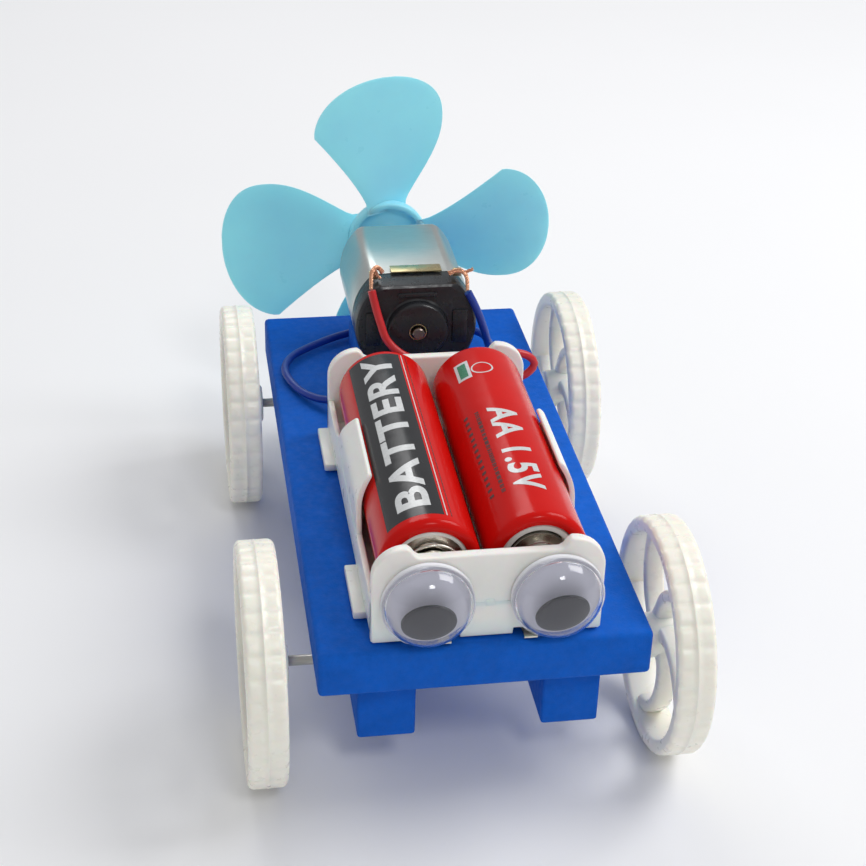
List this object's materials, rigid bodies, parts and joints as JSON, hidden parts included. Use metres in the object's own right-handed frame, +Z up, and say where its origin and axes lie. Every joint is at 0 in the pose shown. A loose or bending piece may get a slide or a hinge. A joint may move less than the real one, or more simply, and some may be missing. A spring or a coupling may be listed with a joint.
{
  "type": "propeller toy car",
  "caption": "Small foam-board car pushed by a motor-driven air propeller, with spoked wheels, a two-cell battery holder and googly eyes.",
  "frame": {"origin": "on the floor plane, under the middle of the car's outer box", "axes": "+Z up, -Y the way the eyes look, +X to the right of someone facing the eyes, so the propeller is at the +Y end"},
  "size_m": [0.0654, 0.115, 0.0696],
  "materials": {
    "blue_foam": "closed-cell foam, matt",
    "wheel_plastic": "moulded, slightly glossy",
    "axle_steel": "drawn wire",
    "holder_plastic": "moulded, satin",
    "foam_tape": "double-sided foam tape",
    "contact_nickel": "nickel-plated spring steel",
    "cell_jacket": "glossy printed sleeve",
    "cell_steel": "bright plated steel",
    "cell_seal": "moulded seal",
    "eye_white": "card-like plastic",
    "eye_clear": "clear vacuum-formed plastic",
    "pupil_grey": "matt disc",
    "motor_can": "satin plated",
    "motor_cap_black": "moulded, satin",
    "brass": "bright",
    "ferrite": "sintered, matt",
    "core_steel": "laminated",
    "copper": "bare copper",
    "carbon": "pressed carbon",
    "propeller_blue": "moulded, slightly translucent",
    "red_insulation": "PVC insulation",
    "blue_insulation": "PVC insulation"
  },
  "bodies": {
    "chassis": {"axle_block_front_left": "blue_foam", "axle_block_front_right": "blue_foam", "axle_block_rear_left": "blue_foam", "axle_block_rear_right": "blue_foam", "battery_holder": "holder_plastic", "blue_wire": "blue_insulation", "blue_wire_strands": "copper", "brush_left": "carbon", "brush_right": "carbon", "bush_front": "brass", "bush_rear": "brass", "chassis_board": "blue_foam", "end_cap_strip": "brass", "eye_left_back": "eye_white", "eye_left_dome": "eye_clear", "eye_right_back": "eye_white", "eye_right_dome": "eye_clear", "front_bridge": "contact_nickel", "holder_tape": "foam_tape", "magnet_left": "ferrite", "magnet_right": "ferrite", "motor_block": "blue_foam", "motor_can": "motor_can", "motor_end_cap": "motor_cap_black", "negative_spring_front": "contact_nickel", "negative_spring_rear": "contact_nickel", "rear_contact_left": "contact_nickel", "rear_contact_right": "contact_nickel", "red_wire": "red_insulation", "red_wire_strands": "copper", "terminal_left": "brass", "terminal_right": "brass"},
    "front_wheelset": {"front_axle": "axle_steel", "wheel_front_left": "wheel_plastic", "wheel_front_right": "wheel_plastic"},
    "rear_wheelset": {"rear_axle": "axle_steel", "wheel_rear_left": "wheel_plastic", "wheel_rear_right": "wheel_plastic"},
    "rotor": {"motor_shaft": "axle_steel", "armature_core": "core_steel", "winding_1": "copper", "winding_2": "copper", "winding_3": "copper", "commutator": "copper", "propeller": "propeller_blue"},
    "pupil_left": {"eye_left_pupil": "pupil_grey"},
    "pupil_right": {"eye_right_pupil": "pupil_grey"},
    "cell_left": {"battery_left_jacket": "cell_jacket", "battery_left_can": "cell_steel", "battery_left_seal": "cell_seal", "battery_left_cap": "cell_steel"},
    "cell_right": {"battery_right_jacket": "cell_jacket", "battery_right_can": "cell_steel", "battery_right_seal": "cell_seal", "battery_right_cap": "cell_steel"}
  },
  "joints": [
    {"name": "front_axle_spin", "type": "hinge", "parent": "chassis", "child": "front_wheelset", "pos_m": [0, -0.0401, 0.0174], "axis": [1, 0, 0], "continuous": true},
    {"name": "rear_axle_spin", "type": "hinge", "parent": "chassis", "child": "rear_wheelset", "pos_m": [0, 0.0344, 0.0174], "axis": [1, 0, 0], "continuous": true},
    {"name": "propeller_spin", "type": "hinge", "parent": "chassis", "child": "rotor", "pos_m": [0, 0.0479, 0.03975], "axis": [0, 1, 0], "continuous": true},
    {"name": "pupil_left_swing", "type": "hinge", "parent": "chassis", "child": "pupil_left", "pos_m": [-0.0083, -0.0521, 0.0338], "axis": [0, 1, 0], "continuous": true},
    {"name": "pupil_right_swing", "type": "hinge", "parent": "chassis", "child": "pupil_right", "pos_m": [0.0092, -0.0521, 0.0338], "axis": [0, 1, 0], "continuous": true},
    {"name": "cell_left_lift", "type": "slide", "parent": "chassis", "child": "cell_left", "axis": [0, 0, 1], "range_m": [0, 0.02]},
    {"name": "cell_right_lift", "type": "slide", "parent": "chassis", "child": "cell_right", "axis": [0, 0, 1], "range_m": [0, 0.02]}
  ]
}
